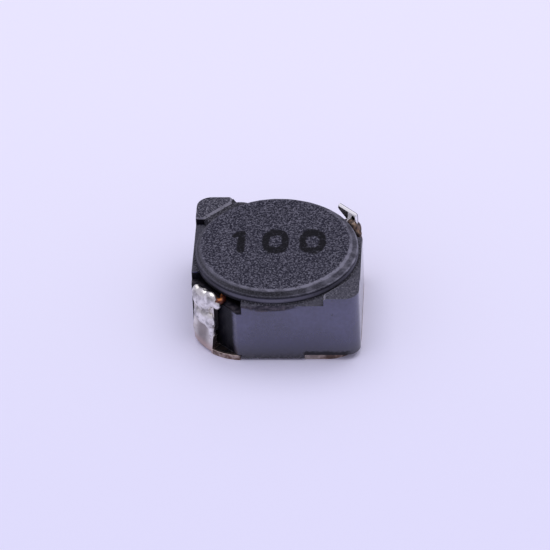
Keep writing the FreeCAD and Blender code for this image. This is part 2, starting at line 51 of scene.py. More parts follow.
POST_TOP = 2.61
POST_NEAR, POST_FAR = 2.55, 1.67
LEDGE = 2.31
SEAT = 2.25
SEAT_RADIUS = 2.80
BORE_RADIUS = 2.40
NOTCH_FLOOR = 2.0
NOTCH_X, NOTCH_Y = 1.10, 0.95
FLANGE_RADIUS, FLANGE_EDGE_TOP = 2.755, 2.61
FLAT_RADIUS, FLAT_TOP = 2.43, 2.65
WAIST_RADIUS = 1.2
LOWER_RADIUS, LOWER_BOTTOM, LOWER_TOP = 2.30, 0.25, 0.67
WIRE_RADIUS = 0.11
SHEET = 0.2
FOOT_MIDDLE, FOOT_RADIUS, FOOT_TO_CLIP = 1.10, 1.75, 1.3435

# Finer sizes in millimetres, for the looks alone.
GROUND_MIDDLE, GROUND_RADIUS = (-0.05, 0.14), 2.556
LIP_ROUND = 0.045
CHAMFER_START = 2.545
EAR_START, EAR_END, EAR_TOP = 0.35, 1.36, 1.95
PRONG_STEM_END = 0.74
WINDOW_NEAR, WINDOW_FAR, WINDOW_LOW, WINDOW_HIGH = 0.42, 0.59, 2.42, 2.69

# Steps of the quarter round that breaks a sharp edge.
EDGE_STEPS = np.array([0.0, 0.0053, 0.018])

SQUARE = math.sqrt(0.5)
WHOLE_TURN = 2 * math.pi


# Shapes

def rounded(corners, steps=8, closed=True):
    """Replace each corner by a tangent arc, its radius being the corner's last number.

    With v0 and v1 from the arc's centre to its two ends and phi the turn, a point of the arc is
    (sin((1 - t) phi) v0 + sin(t phi) v1) / sin(phi).
    """
    corners = np.array(corners, float)
    spots, radius = corners[:, :-1], corners[:, -1:]
    before, after = np.roll(spots, 1, 0) - spots, np.roll(spots, -1, 0) - spots
    before /= np.linalg.norm(before, axis=1, keepdims=True)
    after /= np.linalg.norm(after, axis=1, keepdims=True)
    if not closed:
        radius[[0, -1]] = 0
    turn = np.arccos(np.clip(-(before * after).sum(1, keepdims=True), -1, 1))
    turn = np.clip(turn, 1e-3, math.pi - 1e-3)
    cut = radius * np.tan(turn / 2)
    middle = before + after
    middle /= np.maximum(np.linalg.norm(middle, axis=1, keepdims=True), 1e-9)
    centre = spots + middle * radius / np.cos(turn / 2)
    first, last = spots + before * cut - centre, spots + after * cut - centre
    t = np.linspace(0, 1, steps)[None, :, None]
    phi = turn[:, :, None]
    arcs = (np.sin((1 - t) * phi) * first[:, None] + np.sin(t * phi) * last[:, None]) / np.sin(phi)
    path = (centre[:, None] + arcs).reshape(-1, spots.shape[1])
    far = np.linalg.norm(path - np.roll(path, 1, 0), axis=1) > 1e-6
    far[0] = far[0] or not closed
    return path[far]


def inset(outline, depth):
    """A closed outline with each point moved inwards, so that all edges lie depth further in.

    With n0 and n1 the inward normals of the two edges at a point, it moves by
    depth (n0 + n1) / (1 + n0.n1).
    """
    before, after = outline - np.roll(outline, 1, 0), np.roll(outline, -1, 0) - outline
    before = before / np.linalg.norm(before, axis=1, keepdims=True)
    after = after / np.linalg.norm(after, axis=1, keepdims=True)
    onward = np.roll(outline, -1, 0)
    turning = np.sign((outline[:, 0] * onward[:, 1] - outline[:, 1] * onward[:, 0]).sum())
    middle = before + after
    inwards = np.stack([-middle[:, 1], middle[:, 0]], 1) * turning
    return outline + inwards * depth / (1 + (before * after).sum(1, keepdims=True))


def half_turn(corners):
    """The same corners half a turn on."""
    return [(-corner[0], -corner[1]) + tuple(corner[2:]) for corner in corners]


def ramp(values, low, high):
    """0 below low, 1 above high, straight between."""
    return np.clip((values - low) / (high - low), 0, 1)


def lumps(points, scale, seed):
    """Smooth random field of about -1 to 1: the mean of sine waves in seeded random directions."""
    count = 24
    rng = np.random.default_rng(seed)
    waves = rng.normal(size=(count, points.shape[-1]))
    phases = rng.uniform(0, WHOLE_TURN, count)
    return np.sin(points @ waves.T * scale + phases).mean(-1) * 3.0


def clip_place(along, outward, height, side):
    """A point given along a clipped corner from its outer end, out from it, and up.

    Side 1 is the corner at +X, +Y and side -1 the one opposite, half a turn on.
    """
    along, outward = np.asarray(along, float), np.asarray(outward, float)
    x = HALF - (along - outward) * SQUARE
    y = HALF - CLIP_LEG + (along + outward) * SQUARE
    return np.stack(np.broadcast_arrays(side * x, side * y, height), -1)


def grid_faces(rows, columns, around):
    """Quads of a grid of rows by columns, closed across the columns, and along the rows if asked."""
    row = np.arange(rows if around else rows - 1)[:, None]
    column = np.arange(columns)[None, :]
    here, there = row * columns, (row + 1) % rows * columns
    following = (column + 1) % columns
    faces = np.stack([here + column, here + following, there + following, there + column], -1)
    return faces.reshape(-1, 4).tolist()


def solid(name, points, faces):
    """Make an object from points and faces, merge what coincides and turn the faces outwards."""
    mesh = bpy.data.meshes.new(name)
    mesh.from_pydata(points.reshape(-1, 3).tolist(), [], faces)
    merged = bmesh.new()
    merged.from_mesh(mesh)
    bmesh.ops.remove_doubles(merged, verts=merged.verts, dist=1e-5)
    bmesh.ops.recalc_face_normals(merged, faces=merged.faces)
    merged.to_mesh(mesh)
    merged.free()
    piece = bpy.data.objects.new(name, mesh)
    bpy.context.scene.collection.objects.link(piece)
    return piece


def loft(name, sections, around=False):
    """Skin of closed sections (rows, columns, 3) one after the other, with flat ends unless around."""
    rows, columns = sections.shape[:2]
    faces = grid_faces(rows, columns, around)
    if not around:
        faces.append(list(range(columns)))
        faces.append(list(range((rows - 1) * columns, rows * columns)))
    return solid(name, sections, faces)


def plate(name, outline, low, high):
    """An outline in plan carried straight up from low to high."""
    return loft(name, np.array([np.insert(outline, 2, height, 1) for height in (low, high)]))


def clip_block(name, outline, low, high, side, upright):
    """A block at a clipped corner: an outline (along, up) carried outwards, or (along, out) upwards."""
    levels = np.array([low, high])[:, None]
    along, second = outline[None, :, 0], outline[None, :, 1]
    outward, height = (levels, second) if upright else (second, levels)
    return loft(name, clip_place(along, outward, height, side))


def turned(name, profile, segments):
    """A profile (radius, height) turned about Z: x = r cos a, y = r sin a."""
    angle = np.linspace(0, WHOLE_TURN, segments, endpoint=False)[:, None]
    radius, height = profile[:, 0], profile[:, 1]
    points = np.stack([radius * np.cos(angle), radius * np.sin(angle),
                       np.broadcast_to(height, (segments, len(height)))], -1)
    rows = np.arange(segments)[:, None] * len(height)
    step = np.arange(len(height) - 1)[None, :]
    after = (np.arange(segments)[:, None] + 1) % segments * len(height)
    faces = np.stack([rows + step, rows + step + 1, after + step + 1, after + step], -1)
    return solid(name, points, faces.reshape(-1, 4).tolist())


def tube(name, path, radius, sides):
    """A round section carried along a path: p + r (cos b side + sin b lift), side level, lift across."""
    heading = np.gradient(path, axis=0)
    heading /= np.linalg.norm(heading, axis=1, keepdims=True)
    side = np.cross(heading, [0.0, 0.0, 1.0])
    side /= np.linalg.norm(side, axis=1, keepdims=True)
    lift = np.cross(side, heading)
    turn = np.linspace(0, WHOLE_TURN, sides, endpoint=False)[None, :, None]
    ring = np.cos(turn) * side[:, None] + np.sin(turn) * lift[:, None]
    return loft(name, path[:, None] + ring * radius)


def ball(name, middle, axes, rings=28, sides=40):
    """An ellipsoid: middle + sin u cos v a + sin u sin v b + cos u c."""
    slope = np.linspace(0, math.pi, rings)[:, None, None]
    turn = np.linspace(0, WHOLE_TURN, sides, endpoint=False)[None, :, None]
    points = (middle + np.sin(slope) * np.cos(turn) * axes[0] + np.sin(slope) * np.sin(turn) * axes[1]
              + np.cos(slope) * axes[2])
    return solid(name, points, grid_faces(rings, sides, False))


# Work on finished meshes

def rows_of(mesh, kind):
    """The places ("co") or normals ("normal") of a mesh's points, as rows of three."""
    values = np.empty(len(mesh.vertices) * 3)
    mesh.vertices.foreach_get(kind, values)
    return values.reshape(-1, 3)


def settle(piece):
    """Apply a piece's modifiers to its mesh."""
    graph = bpy.context.evaluated_depsgraph_get()
    done = bpy.data.meshes.new_from_object(piece.evaluated_get(graph))
    piece.modifiers.clear()
    rough, piece.data = piece.data, done
    bpy.data.meshes.remove(rough)
    done.name = piece.name


def drop(pieces):
    """Delete pieces that were only needed to make another."""
    for piece in pieces:
        bpy.data.meshes.remove(piece.data)


def gather(piece, others):
    """Put the meshes of other pieces beside a piece's own, in one mesh."""
    join = bmesh.new()
    for part in [piece] + others:
        join.from_mesh(part.data)
    join.to_mesh(piece.data)
    join.free()
    drop(others)


def combine(piece, operation, others):
    """Cut other solids out of a piece, or join them to it."""
    for other in others:
        step = piece.modifiers.new(other.name, "BOOLEAN")
        step.operation, step.object, step.solver = operation, other, "EXACT"
    settle(piece)
    drop(others)


def even_shading(piece):
    """Let the large faces of a piece set the shading of its narrow edge strips."""
    level = piece.modifiers.new("even_shading", "WEIGHTED_NORMAL")
    level.keep_sharp = True


def soften(piece, width):
    """Break the sharp edges of a piece; the new strips take its second material."""
    bevel = piece.modifiers.new("soft_edges", "BEVEL")
    bevel.width, bevel.segments = width, 2
    bevel.limit_method, bevel.angle_limit = "ANGLE", math.radians(28)
    bevel.material = 1
    even_shading(piece)


def finish_piece(piece, finishes, node, sharp):
    """Scale a piece to metres, give it its finishes, tie it to the root body and hide the frame's node.

    Edges with a turn of more than sharp degrees stay sharp.
    """
    mesh = piece.data
    mesh.materials.clear()
    for finish in finishes:
        mesh.materials.append(finish)
    mesh.polygons.foreach_set("use_smooth", [True] * len(mesh.polygons))
    mesh.set_sharp_from_angle(angle=math.radians(sharp))
    if piece.modifiers:
        settle(piece)
        mesh = piece.data
    mesh.transform(Matrix.Scale(0.001, 4))
    mesh.update()
    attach(piece, "root")
    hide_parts(node)


# Shader sums

class Field:
    """A value that changes over a surface. Sums on fields add Math nodes."""

    def __init__(self, paint, socket):
        self.paint, self.socket = paint, socket

    def __add__(self, other):
        return self.paint.math("ADD", self, other)

    __radd__ = __add__

    def __sub__(self, other):
        return self.paint.math("SUBTRACT", self, other)

    def __rsub__(self, other):
        return self.paint.math("SUBTRACT", other, self)

    def __mul__(self, other):
        return self.paint.math("MULTIPLY", self, other)

    def __truediv__(self, other):
        return self.paint.math("DIVIDE", self, other)

    def __pow__(self, other):
        return self.paint.math("POWER", self, other)

    def __abs__(self):
        return self.paint.math("ABSOLUTE", self)

    def least(self, other):
        """The lesser of two values."""
        return self.paint.math("MINIMUM", self, other)

    def most(self, other):
        """The greater of two values."""
        return self.paint.math("MAXIMUM", self, other)

    def rise(self, low, high):
        """0 below low, 1 above high, smooth between."""
        node = self.paint.node("ShaderNodeMapRange", {"interpolation_type": "SMOOTHSTEP"},
                               {"Value": self, "From Min": low, "From Max": high})
        return Field(self.paint, node.outputs["Result"])

    def fall(self, low, high):
        """1 below low, 0 above high, smooth between."""
        return 1.0 - self.rise(low, high)

    def near(self, value, core, fade):
        """1 within core of a value, 0 beyond fade from it, smooth between."""
        return abs(self - value).fall(core, fade)


class Paint:
    """One procedural material, with the fields that its patterns are made from, in millimetres.

    Along and outward are a place at a clipped corner as clip_place takes it. Clipped is 1 on the
    sides that have one, up 1 where a face looks up, sideways 1 where it looks along the corner.
    """

    def __init__(self, name):
        self.material = bpy.data.materials.new(name)
        self.material.use_nodes = True
        self.tree = self.material.node_tree
        self.tree.nodes.clear()
        place = self.node("ShaderNodeTexCoord").outputs["Object"]
        self.mm = self.node("ShaderNodeVectorMath", {"operation": "SCALE"},
                            {0: place, "Scale": 1000.0}).outputs[0]
        self.x, self.y, self.z = self.parts(self.mm)
        facing = self.parts(self.node("ShaderNodeNewGeometry").outputs["Normal"])
        self.up = facing[2]
        self.sideways = abs(facing[0] - facing[1]) * SQUARE
        self.radius = (self.x ** 2 + self.y ** 2) ** 0.5
        self.along = (abs(self.y) - abs(self.x) + CLIP_LEG) * SQUARE
        self.outward = (abs(self.x) + abs(self.y) - 2 * HALF + CLIP_LEG) * SQUARE
        self.clipped = (self.x * self.y).rise(0.2, 1.0)

    def node(self, kind, settings=None, inputs=None):
        """Add a node, with its settings first and then the values or links of its sockets."""
        made = self.tree.nodes.new(kind)
        for key, value in (settings or {}).items():
            setattr(made, key, value)
        for key, value in (inputs or {}).items():
            source = value.socket if isinstance(value, Field) else value
            if isinstance(source, bpy.types.NodeSocket):
                self.tree.links.new(source, made.inputs[key])
            else:
                made.inputs[key].default_value = source
        return made

    def math(self, operation, *values):
        """A Math node's result as a field."""
        node = self.node("ShaderNodeMath", {"operation": operation}, dict(enumerate(values)))
        return Field(self, node.outputs[0])

    def parts(self, vector):
        """The three parts of a vector as fields."""
        split = self.node("ShaderNodeSeparateXYZ", {}, {0: vector})
        return [Field(self, split.outputs[i]) for i in range(3)]

    def shifted(self, shift):
        """The place in millimetres moved by shift each way, so that patterns differ."""
        moved = self.node("ShaderNodeMapping", {}, {"Vector": self.mm, "Location": (shift,) * 3})
        return moved.outputs[0]

    def noise(self, scale, detail, shift=0.0):
        """Noise of about 0 to 1 with scale lumps a millimetre."""
        node = self.node("ShaderNodeTexNoise", {},
                         {"Vector": self.shifted(shift), "Scale": scale, "Detail": detail})
        return Field(self, node.outputs[0])

    def cells(self, scale, shift=0.0):
        """Distance to the nearest of scattered points, scale points a millimetre."""
        node = self.node("ShaderNodeTexVoronoi", {}, {"Vector": self.shifted(shift), "Scale": scale})
        return Field(self, node.outputs["Distance"])

    def blend(self, share, first, second):
        """Colour from first to second as share goes from 0 to 1."""
        colours = [c if isinstance(c, bpy.types.NodeSocket) else tuple(c) + (1.0,)
                   for c in (first, second)]
        node = self.node("ShaderNodeMix", {"data_type": "RGBA"},
                         {0: share, 6: colours[0], 7: colours[1]})
        return node.outputs[2]

    def shader(self, colour, roughness, relief=None, depth=0.01, **steady):
        """A Principled shader; depth is the relief's height in millimetres."""
        inputs = {"Base Color": colour, "Roughness": roughness}
        inputs.update({key.replace("_", " "): value for key, value in steady.items()})
        if relief is not None:
            bump = self.node("ShaderNodeBump", {}, {"Height": relief, "Distance": depth * 0.001})
            inputs["Normal"] = bump.outputs[0]
        return self.node("ShaderNodeBsdfPrincipled", {}, inputs).outputs[0]

    def lay(self, under, share, over):
        """Lay a second shader over the first where share is 1."""
        return self.node("ShaderNodeMixShader", {}, {0: share, 1: under, 2: over}).outputs[0]

    def close(self, shader):
        """End the material in a shader."""
        self.node("ShaderNodeOutputMaterial", {}, {"Surface": shader})
        return self.material


# Finishes, with colours as linear red, green and blue

DULL_IOR = 1.24
GRAIN_DEPTH = 0.016


def ink_number(paint):
    """1 inside the printed number 100: a bar with a flag, then two rings, with uneven edges."""
    ragged = (paint.noise(5.0, 3.0) - 0.5) * 0.16
    high, middle, stroke = 1.22, 0.275, 0.115
    low, top = middle - high / 2, middle + high / 2
    first, second, third = -1.22, -0.06, 1.20

    def bar(x, low, top, slant=0.0, foot=0.0):
        """Distance from the edge of a bar with round ends, which leans by slant above its foot."""
        across = abs(paint.x - x - (paint.y - foot) * slant)
        along = abs(paint.y - (low + top) / 2) - (top - low) / 2 + stroke
        return (across ** 2 + along.most(0.0) ** 2) ** 0.5 - stroke

    def ring(x):
        """Distance from the edge of a squarish ring's line: |(u^p + v^p)^(1/p) - 1| times its size."""
        power, root, half_width, size = 2.6, 0.385, 0.33, 0.36
        out = (abs((paint.x - x) / half_width) ** power
               + abs((paint.y - middle) / (high / 2 - stroke)) ** power)
        return abs(out ** root - 1.0) * size - stroke

    one = bar(first, low, top).least(bar(first, 0.52, top, 0.75, 0.86))
    marks = one.least(ring(second)).least(ring(third)) + ragged
    patchy = paint.noise(9.0, 2.0, shift=4.0).rise(0.30, 0.50)
    on_flat = paint.z.rise(FLAT_TOP - 0.05, FLAT_TOP - 0.01)
    return marks.fall(-0.02, 0.05) * on_flat * (0.72 + patchy * 0.28)


def ground_grain(paint):
    """Light specks and dark pits of ground ferrite, each 0 to 1."""
    grain = paint.noise(15.0, 2.0) * 0.55 + paint.noise(27.0, 1.0, shift=2.0) * 0.45
    speckle = paint.cells(15.0).fall(0.10, 0.42)
    light = grain.rise(0.44, 0.64) * 0.75 + speckle * grain.rise(0.40, 0.56) * 0.8
    return light, paint.cells(8.0, 3.0).fall(0.10, 0.28)


def ground_ferrite():
    """Grainy ground flat of the drum and its number, with painted reflection, highlight and shade."""
    paint = Paint("ferrite_drum_ground")
    deep, shade, under = (0.014, 0.014, 0.026), (0.006, 0.006, 0.010), (0.007, 0.007, 0.011)
    grey, pit, ink = (0.20, 0.196, 0.245), (0.008, 0.008, 0.012), (0.003, 0.003, 0.005)
    light, pits = ground_grain(paint)
    upper = paint.z.rise(FLANGE_EDGE_TOP - 0.07, FLANGE_EDGE_TOP - 0.03)
    ground = ((paint.x - GROUND_MIDDLE[0]) ** 2 + (paint.y - GROUND_MIDDLE[1]) ** 2) ** 0.5
    flat = ground.fall(GROUND_RADIUS - 0.03, GROUND_RADIUS + 0.01) * upper
    rim = upper * (1.0 - flat)
    across = paint.x / paint.radius
    right, off_left = across.rise(0.0, 0.85), across.rise(-1.0, -0.2)
    front = (paint.y / paint.radius).fall(-0.5, 0.5)
    streaks = paint.noise(3.0, 4.0, shift=7.0).rise(0.36, 0.70)
    # A painted highlight along the flat's edge, strongest at the front and the sides.
    edge_highlight = ground.near(GROUND_RADIUS - 0.005, 0.015, 0.085) * upper
    edge_highlight = edge_highlight * (0.35 + off_left * 0.35 + right * 0.30) * (0.25 + front * 0.75)
    # A painted highlight along the lip, streaked on the right.
    lip_highlight = (paint.radius.near(FLANGE_RADIUS - 0.03, 0.006, 0.04)
                * paint.z.rise(FLANGE_EDGE_TOP - 0.06, FLANGE_EDGE_TOP - 0.02))
    # A painted sheen band round the middle of the flange's side.
    side_sheen = paint.z.near(2.45, 0.03, 0.11) * (1.0 - upper) * (0.35 + off_left * 0.65)
    # On the right and the far left the rim is lighter: a painted reflection, with worn streaks on the
    # right.
    share = light * (flat * 0.92 + rim * 0.18) + rim * right * (0.12 + streaks * 0.42)
    share = share + rim * (1.0 - off_left) * 0.16 + edge_highlight * (0.7 + streaks * 0.8)
    share = share + lip_highlight * (0.16 + right * streaks * 0.5) + side_sheen * 0.60
    # The rim is painted dark, a painted dark reflection, except on the right.
    base = paint.blend(rim * (1.0 - right * 0.7), deep, shade)
    # Below the top the drum is painted darker, painted shade, except in the sheen band.
    base = paint.blend((1.0 - upper) * (1.0 - side_sheen), base, under)
    colour = paint.blend(share.least(1.0), base, grey)
    colour = paint.blend(pits * (0.2 + flat * 0.65), colour, pit)
    colour = paint.blend(ink_number(paint) * 0.97, colour, ink)
    relief = light * (0.3 + flat * 0.7) - pits * 0.6
    return paint.close(paint.shader(colour, 0.5 + flat * 0.25, relief, GRAIN_DEPTH, IOR=DULL_IOR))


def ring_tops(paint, fine, worn):
    """Where the ring's tops and the posts' chamfers are, 0 to 1, and their grainy shader."""
    base, grey, pit = (0.024, 0.024, 0.038), (0.26, 0.255, 0.30), (0.006, 0.006, 0.009)
    top = paint.up.rise(0.35, 0.75) * paint.z.rise(LEDGE - 0.05, LEDGE - 0.01)
    chamfer = paint.z.rise(CHAMFER_START - 0.01, CHAMFER_START + 0.005)
    chamfer = chamfer * paint.up.fall(0.85, 0.97) * paint.up.rise(0.2, 0.5)
    light, pits = ground_grain(paint)
    wear = paint.noise(6.0, 4.0, shift=5.0).rise(0.36, 0.62)
    on_posts = paint.z.rise(LEDGE + 0.09, LEDGE + 0.19)
    grainy = 0.30 + on_posts * (0.15 + paint.y.rise(-1.0, 1.0) * 0.45)
    share = light * top * grainy + top * (0.9 - grainy) * (0.14 + fine * 0.2)
    # The chamfers are painted light: a painted highlight, with wear.
    share = share + chamfer * (0.7 + wear * 0.3)
    if worn:
        share = share * 0.6 + wear * worn
    colour = paint.blend(share.least(1.0), base, grey)
    colour = paint.blend(pits * 0.8, colour, pit)
    return top, chamfer, paint.shader(colour, 0.7, light - pits * 0.6, GRAIN_DEPTH, IOR=DULL_IOR)


def ring_sides(paint, fine, worn):
    """Shader of the ring's smooth pressed sides: cloudy, with painted shade towards the foot, and
    scattered pits.
    """
    dark_blue, blue = (0.013, 0.013, 0.052), (0.062, 0.062, 0.158)
    shade_and_glue_black, pit = (0.008, 0.008, 0.016), (0.004, 0.004, 0.007)
    cloud = paint.noise(0.9, 3.0, shift=2.0)
    holes = paint.cells(1.9, 5.0).fall(0.05, 0.10)
    tone = cloud.rise(0.3, 0.7) * 0.4 + fine.rise(0.3, 0.7) * 0.25 + worn * 0.3
    # Towards the foot the sides are painted darker, painted shade near the floor.
    colour = paint.blend(tone * paint.z.rise(0.1, 1.5), dark_blue, blue)
    colour = paint.blend((paint.z + fine * 0.1).fall(0.1, 0.9) * 0.9, colour, shade_and_glue_black)
    colour = paint.blend(holes, colour, pit)
    rough = 0.15 + cloud * 0.08 - paint.x.rise(HALF - 0.15, HALF - 0.01) * 0.08
    return paint.shader(colour, rough, cloud * 0.35 - holes, 0.014, IOR=1.9)


def ring_dull(paint, fine, top, notch_floor):
    """Where the ring is dull, 0 to 1, and that shader: front chip, glue line, painted shade at foot and
    notches.
    """
    shade_and_glue_black, brown = (0.008, 0.007, 0.009), (0.085, 0.072, 0.078)
    front = paint.y.fall(-HALF + 0.11, -HALF + 0.15)
    ragged = (fine - 0.5) * 0.22
    past_chip = (abs(paint.x + 0.15) - 0.35).most(0.0)
    # Dull and darker at the chip and along the front wall's top, the line rising either side of the chip.
    chip_and_top_band = (paint.z + ragged - past_chip * 0.25).rise(2.05, 2.13)
    glue_line = (paint.z + ragged).fall(0.34, 0.44) * paint.x.rise(0.85, 1.0) * paint.x.fall(2.3, 2.7)
    # Painted shade: dull and dark along the foot.
    foot = (paint.z + fine * 0.1).fall(0.12, 0.42) * 0.55
    dull = front * (1.0 - top) * chip_and_top_band.most(glue_line) * (1.0 - paint.x.rise(0.6, 0.9) * chip_and_top_band)
    colour = paint.blend(fine.rise(0.35, 0.7) * (1.0 - glue_line), shade_and_glue_black, brown)
    return dull.most(foot).most(notch_floor) * 0.85, paint.shader(colour, 0.65, fine, 0.03, IOR=1.3)


def ring_black_shade_and_glue(paint, fine, notch_floor):
    """Where the ring is painted near-black, 0 to 1, and its shader: painted shade, with black glue in the
    notches.
    """
    black, brown = (0.003, 0.003, 0.005), (0.022, 0.018, 0.021)
    smear = paint.noise(3.0, 3.0, shift=1.0)
    # The clip faces are painted near-black: painted shade and a painted dark reflection of the ear.
    clip_face = paint.outward.rise(-0.075, -0.02) * (paint.along + smear * 0.12).fall(2.02, 2.24)
    # In the notches the near-black is painted shade, with black glue.
    notch = abs(paint.x).rise(NOTCH_X - 0.03, NOTCH_X) * abs(paint.y).rise(NOTCH_Y - 0.03, NOTCH_Y)
    notch = notch * paint.z.rise(NOTCH_FLOOR - 0.08, NOTCH_FLOOR - 0.01)
    notch = notch * (1.0 - notch_floor * (paint.outward - fine * 0.25).rise(-0.50, -0.30) * 0.75)
    lies = clip_face.most(notch) * paint.z.fall(LEDGE - 0.07, LEDGE - 0.01) * paint.clipped
    # The back-left post's stub faces are painted black, painted shade.
    shaded_post_face = abs(paint.x).least(abs(paint.y)).near(POST_FAR, 0.01, 0.04)
    shaded_post_face = shaded_post_face * paint.z.rise(LEDGE, LEDGE + 0.02) * paint.up.fall(0.2, 0.5)
    lies = lies.most(shaded_post_face * paint.x.fall(1.0, 1.2))
    colour = paint.blend(smear.rise(0.45, 0.75) * 0.4, black, brown)
    return lies * 0.97, paint.shader(colour, 0.3 + smear * 0.2, smear, 0.02, IOR=1.2)


def pressed_ferrite(name, worn):
    """Finish of the ring, lighter the more it is worn: sides, tops, dull places and painted near-black
    shade.
    """
    paint = Paint(name)
    fine = paint.noise(7.0, 4.0, shift=6.0)
    # The notch floors are painted dark: painted shade, with black glue.
    notch_floor = paint.up.rise(0.4, 0.7) * paint.z.rise(NOTCH_FLOOR - 0.08, NOTCH_FLOOR - 0.04)
    notch_floor = notch_floor * paint.z.fall(NOTCH_FLOOR + 0.04, NOTCH_FLOOR + 0.08)
    top, chamfer, tops = ring_tops(paint, fine, worn)
    ferrite = paint.lay(ring_sides(paint, fine, worn), top.most(chamfer), tops)
    ferrite = paint.lay(ferrite, *ring_dull(paint, fine, top, notch_floor))
    return paint.close(paint.lay(ferrite, *ring_black_shade_and_glue(paint, fine, notch_floor)))


def copper_edge(paint, mottle, stain):
    """Colour of the sheet's cut edges: mottled copper with brown stains, tinned in one stretch."""
    brown, pink = (0.17, 0.105, 0.080), (0.44, 0.36, 0.32)
    dirt, tin = (0.065, 0.040, 0.032), (0.40, 0.36, 0.34)
    colour = paint.blend(mottle.rise(0.40, 0.62), brown, pink)
    colour = paint.blend(stain * 0.75, colour, dirt)
    tinned = paint.x.rise(0.85, 0.95) * (paint.x + mottle).fall(1.7, 2.1)
    return paint.blend(tinned * 0.45, colour, tin)


def plate_epoxy(paint, ear, prong, fine, mottle, stain):
    """Where dark epoxy covers a terminal, 0 to 1, and its shader: plate tops and the ear's sides."""
    black, brown = (0.006, 0.006, 0.008), (0.05, 0.025, 0.018)
    smear = (0.5 - paint.noise(4.0, 3.0, shift=2.0)) * 0.03
    from_arc = ((abs(paint.x) - FOOT_MIDDLE) ** 2 + (abs(paint.y) - FOOT_MIDDLE) ** 2) ** 0.5
    from_arc = from_arc + smear * 3.0
    cover = paint.up.rise(0.5, 0.8) * paint.z.rise(SHEET - 0.05, SHEET - 0.02)
    cover = cover * paint.z.fall(SHEET + 0.04, SHEET + 0.10)
    cover = cover * (1.0 - from_arc.rise(FOOT_RADIUS - 0.13, FOOT_RADIUS - 0.03) * paint.clipped * 0.85)
    cover = cover.most(ear * (1.0 - prong) * paint.sideways.rise(0.8, 0.9) * 0.9)
    colour = paint.blend(stain * 0.3, black, brown)
    shader = paint.shader(colour, 0.4 + fine * 0.2, mottle, 0.02, IOR=1.3)
    return cover * (1.0 - ear * paint.up.rise(0.5, 0.8)), shader


def tinned_sheet():
    """Tin over copper sheet: bright ear, copper at the cut edges of the plate, and dark epoxy on top.

    The ear is duller and browner in its middle below the solder, and pinkish at its bend. The prong
    is painted white where it looks up and on its stem, a painted highlight, and painted dark
    elsewhere as a reflection of the flange, with painted shade in its window and a dark back edge.
    """
    paint = Paint("tin_over_copper")
    mottle = paint.noise(5.0, 4.0)
    fine = paint.noise(22.0, 3.0)
    stain = paint.noise(4.2, 3.0, shift=9.0).rise(0.42, 0.64)
    ear = paint.outward.rise(-0.05, 0.0) * paint.clipped
    ear = ear * paint.along.rise(EAR_START - 0.05, EAR_START - 0.01)
    ear = ear * paint.along.fall(EAR_END + 0.01, EAR_END + 0.05)
    not_under = paint.up.rise(-0.85, -0.5)
    dull = paint.along.near(0.84, 0.10, 0.42) * paint.z.fall(1.0, 1.3) * ear * not_under
    bend = (paint.z + mottle * 0.15).fall(0.22, 0.55) * not_under
    cut = abs(paint.up).fall(0.3, 0.7) * paint.z.fall(SHEET - 0.03, SHEET + 0.02) * (1.0 - ear)
    colour = paint.blend(mottle.rise(0.3, 0.75) * 0.6, (0.74, 0.71, 0.66), (0.42, 0.37, 0.34))
    colour = paint.blend(dull * 0.8, colour, (0.22, 0.19, 0.18))
    colour = paint.blend(bend * (0.6 + mottle * 0.4), colour, (0.55, 0.42, 0.37))
    colour = paint.blend(cut, colour, copper_edge(paint, mottle, stain))
    prong = paint.z.rise(2.30, 2.36)
    stem = paint.along.fall(PRONG_STEM_END, PRONG_STEM_END + 0.04)
    # Painted highlight: the prong's up-facing faces and its stem are painted white.
    bright = stem.most(paint.up.rise(0.25, 0.5)) * prong
    colour = paint.blend(bright, colour, (0.97, 0.96, 0.95))
    # The prong's other faces are painted dark, a painted reflection of the dark flange.
    colour = paint.blend(prong * (1.0 - bright) * 0.5, colour, (0.16, 0.15, 0.16))
    # Painted shade in the prong's window.
    window_shade = paint.along.near((WINDOW_NEAR + WINDOW_FAR) / 2, 0.08, 0.09)
    window_shade = window_shade * paint.z.near((WINDOW_LOW + WINDOW_HIGH) / 2, 0.13, 0.14)
    window_shade = window_shade * paint.outward.rise(0.07, 0.09)
    bright = bright * (1.0 - window_shade)
    colour = paint.blend(window_shade, colour, (0.03, 0.028, 0.028))
    colour = paint.blend(paint.outward.rise(0.12, 0.14) * bright, colour, (0.16, 0.16, 0.19))
    matte_highlight = bright * paint.sideways.fall(0.4, 0.7)
    metal = paint.shader(colour, 0.26 + mottle * 0.2 + cut * 0.2, mottle + fine * 0.3, 0.014,
                         Metallic=1.0 - matte_highlight * 0.9 - cut * 0.5)
    return paint.close(paint.lay(metal, *plate_epoxy(paint, ear, prong, fine, mottle, stain)))


def bright_solder(name, browned):
    """Bright lumpy solder with dull dimples and brown flux, which covers most of it at browned 1."""
    paint = Paint(name)
    bright, grey = (0.82, 0.80, 0.765), (0.21, 0.20, 0.20)
    tan, umber = (0.17, 0.108, 0.072), (0.045, 0.028, 0.022)
    lump = paint.noise(3.2, 2.0)
    fine = paint.noise(12.0, 3.0, shift=3.0)
    dimple = paint.cells(3.2, 1.5).fall(0.04, 0.26)
    dull = paint.noise(2.6, 3.0, shift=4.0).rise(0.48, 0.66)
    flux = (paint.noise(5.0, 4.0, shift=8.0) + browned * 0.24).rise(0.52, 0.66)
    colour = paint.blend((dimple * 0.6 + dull * 0.7).least(1.0), bright, grey)
    brown = paint.blend(paint.noise(9.0, 3.0, shift=9.0).rise(0.44, 0.56), tan, umber)
    colour = paint.blend(flux * (0.25 + browned * 0.7), colour, brown)
    rough = 0.22 + fine * 0.18 + dimple * 0.15 + flux * browned * 0.2
    relief = lump + fine * 0.25 - dimple * 0.7
    return paint.close(paint.shader(colour, rough, relief, 0.036, Metallic=1.0))


